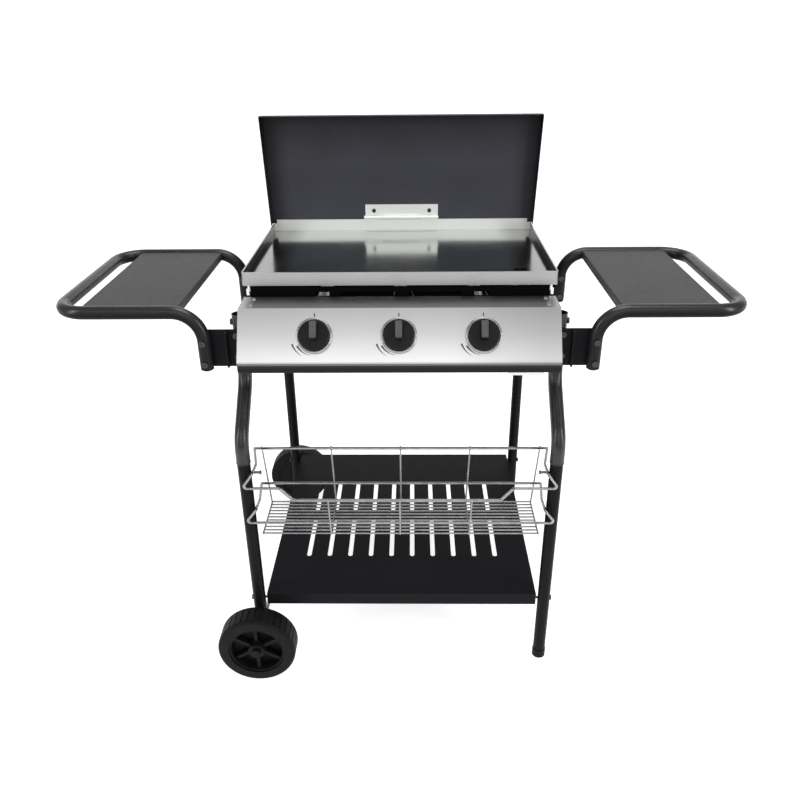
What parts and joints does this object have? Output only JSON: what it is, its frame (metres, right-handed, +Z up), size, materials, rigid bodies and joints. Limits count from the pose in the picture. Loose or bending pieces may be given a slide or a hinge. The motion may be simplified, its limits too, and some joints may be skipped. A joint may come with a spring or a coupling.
{
  "type": "flat top griddle",
  "caption": "Flat top gas griddle on a rolling tube cart, with an open hood lid, fold-down side shelves and a wire basket.",
  "frame": {"origin": "middle of the bounding box's bottom face, on the floor", "axes": "+Z up, +X to the right as the cook sees it, the control panel faces -Y"},
  "size_m": [1.287, 0.734, 1.056],
  "materials": {
    "black_tube": "semi-gloss powder coat",
    "black_sheet": "satin powder coat",
    "stainless": "brushed",
    "zinc": "zinc plated",
    "chrome": "polished",
    "black_plastic": "moulded",
    "brass": "machined"
  },
  "bodies": {
    "cart": {"axle": "zinc", "axle_caps": "black_plastic", "axle_spacers": "black_plastic", "bezels": "chrome", "bottom_shelf": "black_sheet", "bottom_shelf_bolts": "zinc", "box_floor": "black_sheet", "box_left_side": "black_sheet", "box_rear": "black_sheet", "box_right_side": "black_sheet", "bracket_screws": "zinc", "burner_bars": "stainless", "burners": "stainless", "control_panel": "stainless", "electrodes": "zinc", "foot_caps": "black_plastic", "front_upper_legs": "black_tube", "gas_inlet": "brass", "grease_chute": "stainless", "grease_tray_rails": "stainless", "heat_shield": "black_sheet", "left_lower_legs": "black_tube", "leg_bolts": "zinc", "manifold": "zinc", "panel_lower_trim": "black_sheet", "panel_screws": "zinc", "pivot_bolts": "zinc", "rear_upper_legs": "black_tube", "right_lower_legs": "black_tube", "table_brackets": "black_sheet", "valves": "brass"},
    "front_wheel": {"front_tyre": "black_plastic", "front_wheel_hub": "black_plastic"},
    "rear_wheel": {"rear_tyre": "black_plastic", "rear_wheel_hub": "black_plastic"},
    "griddle": {"griddle_plate": "stainless", "griddle_feet": "zinc", "hinge_fixed_leaf": "stainless", "hinge_pin": "zinc"},
    "lid": {"lid_shell": "black_sheet", "lid_screws": "zinc", "hinge_moving_leaf": "stainless"},
    "left_table": {"left_table_frame": "black_tube", "left_table_plate": "black_sheet", "left_lock_screws": "zinc"},
    "right_table": {"right_table_frame": "black_tube", "right_table_plate": "black_sheet", "right_lock_screws": "zinc"},
    "grease_drawer": {"grease_tray": "stainless"},
    "basket": {"basket_front": "chrome", "basket_rear": "chrome", "basket_floor": "chrome", "basket_left_end": "chrome", "basket_right_end": "chrome"},
    "left_plunger": {"left_knob_collar": "black_plastic"},
    "left_dial": {"left_knob": "black_plastic"},
    "middle_plunger": {"middle_knob_collar": "black_plastic"},
    "middle_dial": {"middle_knob": "black_plastic"},
    "right_plunger": {"right_knob_collar": "black_plastic"},
    "right_dial": {"right_knob": "black_plastic"}
  },
  "joints": [
    {"name": "front_wheel_spin", "type": "hinge", "parent": "cart", "child": "front_wheel", "pos_m": [-0.299, -0.3355, 0.08], "axis": [0, 1, 0], "continuous": true},
    {"name": "rear_wheel_spin", "type": "hinge", "parent": "cart", "child": "rear_wheel", "pos_m": [-0.299, 0.3355, 0.08], "axis": [0, 1, 0], "continuous": true},
    {"name": "griddle_lift", "type": "slide", "parent": "cart", "child": "griddle", "axis": [0, 0, 1], "range_m": [0, 0.06]},
    {"name": "lid_hinge", "type": "hinge", "parent": "griddle", "child": "lid", "pos_m": [0, 0.245, 0.833], "axis": [1, 0, 0], "range_deg": [0, 90]},
    {"name": "left_table_fold", "type": "hinge", "parent": "cart", "child": "left_table", "pos_m": [-0.362, -0.03, 0.672], "axis": [0, -1, 0], "range_deg": [0, 90]},
    {"name": "right_table_fold", "type": "hinge", "parent": "cart", "child": "right_table", "pos_m": [0.362, -0.03, 0.672], "axis": [0, 1, 0], "range_deg": [0, 90]},
    {"name": "grease_drawer_slide", "type": "slide", "parent": "cart", "child": "grease_drawer", "axis": [0, -1, 0], "range_m": [0, 0.15]},
    {"name": "basket_lift", "type": "slide", "parent": "cart", "child": "basket", "axis": [0, 0, 1], "range_m": [0, 0.05]},
    {"name": "left_knob_push", "type": "slide", "parent": "cart", "child": "left_plunger", "axis": [0, 0.848, -0.53], "range_m": [0, 0.004], "stiffness_N_per_m": 800, "springref_m": -0.004},
    {"name": "left_knob_turn", "type": "hinge", "parent": "left_plunger", "child": "left_dial", "pos_m": [-0.155, -0.2295, 0.728], "axis": [0, -0.848, 0.53], "range_deg": [0, 210]},
    {"name": "middle_knob_push", "type": "slide", "parent": "cart", "child": "middle_plunger", "axis": [0, 0.848, -0.53], "range_m": [0, 0.004], "stiffness_N_per_m": 800, "springref_m": -0.004},
    {"name": "middle_knob_turn", "type": "hinge", "parent": "middle_plunger", "child": "middle_dial", "pos_m": [0, -0.2295, 0.728], "axis": [0, -0.848, 0.53], "range_deg": [0, 210]},
    {"name": "right_knob_push", "type": "slide", "parent": "cart", "child": "right_plunger", "axis": [0, 0.848, -0.53], "range_m": [0, 0.004], "stiffness_N_per_m": 800, "springref_m": -0.004},
    {"name": "right_knob_turn", "type": "hinge", "parent": "right_plunger", "child": "right_dial", "pos_m": [0.155, -0.2295, 0.728], "axis": [0, -0.848, 0.53], "range_deg": [0, 210]}
  ]
}
